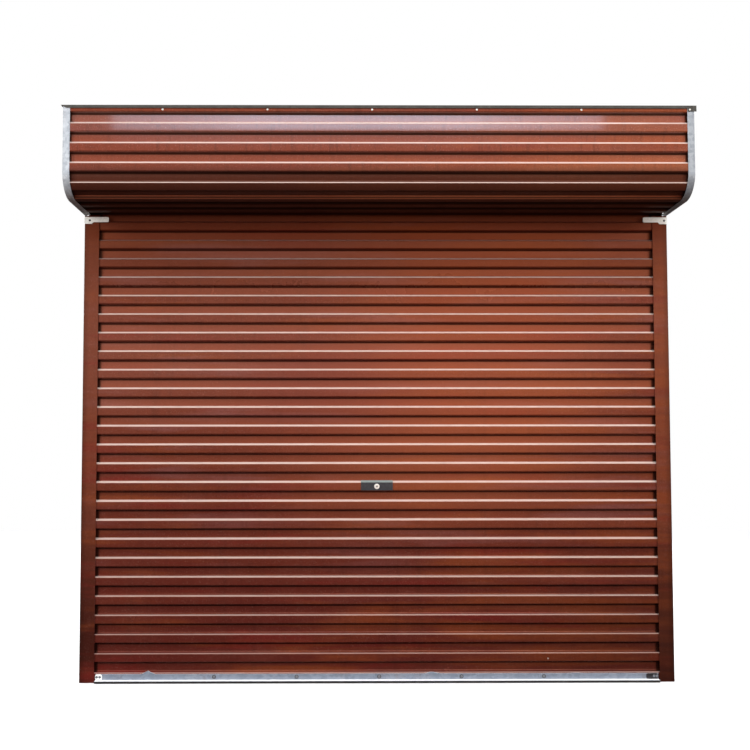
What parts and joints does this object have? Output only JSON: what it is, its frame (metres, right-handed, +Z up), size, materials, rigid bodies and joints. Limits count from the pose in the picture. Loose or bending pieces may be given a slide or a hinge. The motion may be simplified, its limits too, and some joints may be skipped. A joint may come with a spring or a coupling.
{
  "type": "roller shutter garage door",
  "caption": "Face-mounted roll-up garage door: ribbed steel curtain in side guides, winding onto a drum in a rounded ribbed hood, with bottom rail, stop arms and a central lock with side bars.",
  "frame": {"origin": "floor level in the middle of the doorway, on the wall's face, where the guides' backs lie", "axes": "+X across the doorway to the right seen from outside, +Y into the wall, +Z up; the front faces -Y"},
  "size_m": [2.718, 0.367, 2.5655],
  "materials": {
    "guide_paint": "gloss",
    "curtain_paint": "gloss",
    "hood_paint": "gloss",
    "galvanised": "satin",
    "flashing_steel": "satin",
    "zinc_hardware": "satin",
    "bracket_steel": "satin",
    "axle_steel": "satin",
    "spring_steel": "satin",
    "nylon": "matte",
    "seal_rubber": "matte",
    "lock_black": "satin",
    "key_nickel": "satin"
  },
  "bodies": {
    "frame": {"left_guide": "guide_paint", "right_guide": "guide_paint", "left_wear_strip": "nylon", "right_wear_strip": "nylon", "left_stop_arm": "galvanised", "right_stop_arm": "galvanised", "stop_screws": "zinc_hardware", "left_lock_keeper": "zinc_hardware", "right_lock_keeper": "zinc_hardware", "left_hood_cheek": "galvanised", "right_hood_cheek": "galvanised", "hood_cover": "hood_paint", "hood_top_rail": "galvanised", "hood_screws": "zinc_hardware", "hood_flashing": "flashing_steel", "left_axle_bracket": "bracket_steel", "right_axle_bracket": "bracket_steel", "left_axle_collar": "zinc_hardware", "right_axle_collar": "zinc_hardware", "axle": "axle_steel", "left_torsion_spring": "spring_steel", "right_torsion_spring": "spring_steel"},
    "rail": {"bottom_rail": "galvanised", "bottom_seal": "seal_rubber", "rail_bolts": "zinc_hardware", "left_rail_tongue": "galvanised", "right_rail_tongue": "galvanised", "curtain_bottom_strip": "curtain_paint"},
    "drum": {"left_drum_wheel": "bracket_steel", "centre_drum_wheel": "bracket_steel", "right_drum_wheel": "bracket_steel", "left_drum_bush": "nylon", "centre_drum_bush": "nylon", "right_drum_bush": "nylon", "curtain_roll": "curtain_paint"},
    "strip_01": {"curtain_strip_01": "curtain_paint"},
    "strip_02": {"curtain_strip_02": "curtain_paint"},
    "strip_03": {"curtain_strip_03": "curtain_paint"},
    "strip_04": {"curtain_strip_04": "curtain_paint"},
    "strip_05": {"curtain_strip_05": "curtain_paint"},
    "strip_06": {"curtain_strip_06": "curtain_paint"},
    "strip_07": {"curtain_strip_07": "curtain_paint"},
    "strip_08": {"curtain_strip_08": "curtain_paint"},
    "strip_09": {"curtain_strip_09": "curtain_paint"},
    "strip_10": {"curtain_strip_10": "curtain_paint"},
    "strip_11": {"curtain_strip_11": "curtain_paint"},
    "strip_12": {"curtain_strip_12": "curtain_paint"},
    "strip_top": {"curtain_top_strip": "curtain_paint"},
    "lock": {"lock_plate": "lock_black", "lock_backplate": "zinc_hardware", "lock_bar_clips": "zinc_hardware"},
    "key_barrel": {"key_cylinder": "key_nickel", "lock_cam": "zinc_hardware", "inside_thumb_turn": "lock_black"},
    "left_bar": {"left_lock_bar": "zinc_hardware"},
    "right_bar": {"right_lock_bar": "zinc_hardware"}
  },
  "joints": [
    {"name": "curtain_lift", "type": "slide", "parent": "frame", "child": "rail", "axis": [0, 0, 1], "range_m": [0, 2.0845]},
    {"name": "drum_spin", "type": "hinge", "parent": "frame", "child": "drum", "pos_m": [0, -0.1653, 2.332], "axis": [1, 0, 0], "range_deg": [0, 751]},
    {"name": "strip_01_lift", "type": "slide", "parent": "frame", "child": "strip_01", "axis": [0, 0, 1], "range_m": [0, 2.0855], "deforming": ["curtain_strip_01"]},
    {"name": "strip_02_lift", "type": "slide", "parent": "frame", "child": "strip_02", "axis": [0, 0, 1], "range_m": [0, 1.9272], "deforming": ["curtain_strip_02"]},
    {"name": "strip_03_lift", "type": "slide", "parent": "frame", "child": "strip_03", "axis": [0, 0, 1], "range_m": [0, 1.7688], "deforming": ["curtain_strip_03"]},
    {"name": "strip_04_lift", "type": "slide", "parent": "frame", "child": "strip_04", "axis": [0, 0, 1], "range_m": [0, 1.6105], "deforming": ["curtain_strip_04"]},
    {"name": "strip_05_lift", "type": "slide", "parent": "frame", "child": "strip_05", "axis": [0, 0, 1], "range_m": [0, 1.4522], "deforming": ["curtain_strip_05"]},
    {"name": "strip_06_lift", "type": "slide", "parent": "frame", "child": "strip_06", "axis": [0, 0, 1], "range_m": [0, 1.2939], "deforming": ["curtain_strip_06"]},
    {"name": "strip_07_lift", "type": "slide", "parent": "frame", "child": "strip_07", "axis": [0, 0, 1], "range_m": [0, 1.1355], "deforming": ["curtain_strip_07"]},
    {"name": "strip_08_lift", "type": "slide", "parent": "frame", "child": "strip_08", "axis": [0, 0, 1], "range_m": [0, 0.9772], "deforming": ["curtain_strip_08"]},
    {"name": "strip_09_lift", "type": "slide", "parent": "frame", "child": "strip_09", "axis": [0, 0, 1], "range_m": [0, 0.8189], "deforming": ["curtain_strip_09"]},
    {"name": "strip_10_lift", "type": "slide", "parent": "frame", "child": "strip_10", "axis": [0, 0, 1], "range_m": [0, 0.6605], "deforming": ["curtain_strip_10"]},
    {"name": "strip_11_lift", "type": "slide", "parent": "frame", "child": "strip_11", "axis": [0, 0, 1], "range_m": [0, 0.5022], "deforming": ["curtain_strip_11"]},
    {"name": "strip_12_lift", "type": "slide", "parent": "frame", "child": "strip_12", "axis": [0, 0, 1], "range_m": [0, 0.3439], "deforming": ["curtain_strip_12"]},
    {"name": "strip_top_lift", "type": "slide", "parent": "frame", "child": "strip_top", "axis": [0, 0, 1], "range_m": [0, 0.1856], "deforming": ["curtain_top_strip"]},
    {"name": "lock_lift", "type": "slide", "parent": "frame", "child": "lock", "axis": [0, 0, 1], "range_m": [0, 1.3334]},
    {"name": "key_turn", "type": "hinge", "parent": "lock", "child": "key_barrel", "pos_m": [0, -0.02, 0.8845], "axis": [0, -1, 0], "range_deg": [0, 91]},
    {"name": "left_bar_throw", "type": "slide", "parent": "lock", "child": "left_bar", "axis": [-1, 0, 0], "range_m": [0, 0.034]},
    {"name": "right_bar_throw", "type": "slide", "parent": "lock", "child": "right_bar", "axis": [1, 0, 0], "range_m": [0, 0.0345]}
  ],
  "couplings": [
    {"joint": "drum_spin", "follows": "curtain_lift", "rad_per_m": 6.2797},
    {"joint": "strip_01_lift", "follows": "curtain_lift", "ratio": 1},
    {"joint": "strip_02_lift", "follows": "curtain_lift", "ratio": 0.92405},
    {"joint": "strip_03_lift", "follows": "curtain_lift", "ratio": 0.84809},
    {"joint": "strip_04_lift", "follows": "curtain_lift", "ratio": 0.77214},
    {"joint": "strip_05_lift", "follows": "curtain_lift", "ratio": 0.69618},
    {"joint": "strip_06_lift", "follows": "curtain_lift", "ratio": 0.62023},
    {"joint": "strip_07_lift", "follows": "curtain_lift", "ratio": 0.54427},
    {"joint": "strip_08_lift", "follows": "curtain_lift", "ratio": 0.46831},
    {"joint": "strip_09_lift", "follows": "curtain_lift", "ratio": 0.39236},
    {"joint": "strip_10_lift", "follows": "curtain_lift", "ratio": 0.3164},
    {"joint": "strip_11_lift", "follows": "curtain_lift", "ratio": 0.24045},
    {"joint": "strip_12_lift", "follows": "curtain_lift", "ratio": 0.1645},
    {"joint": "strip_top_lift", "follows": "curtain_lift", "ratio": 0.088541},
    {"joint": "lock_lift", "follows": "curtain_lift", "ratio": 0.63921},
    {"joint": "key_turn", "follows": "left_bar_throw", "rad_per_m": 46.28},
    {"joint": "right_bar_throw", "follows": "left_bar_throw", "ratio": 1}
  ]
}
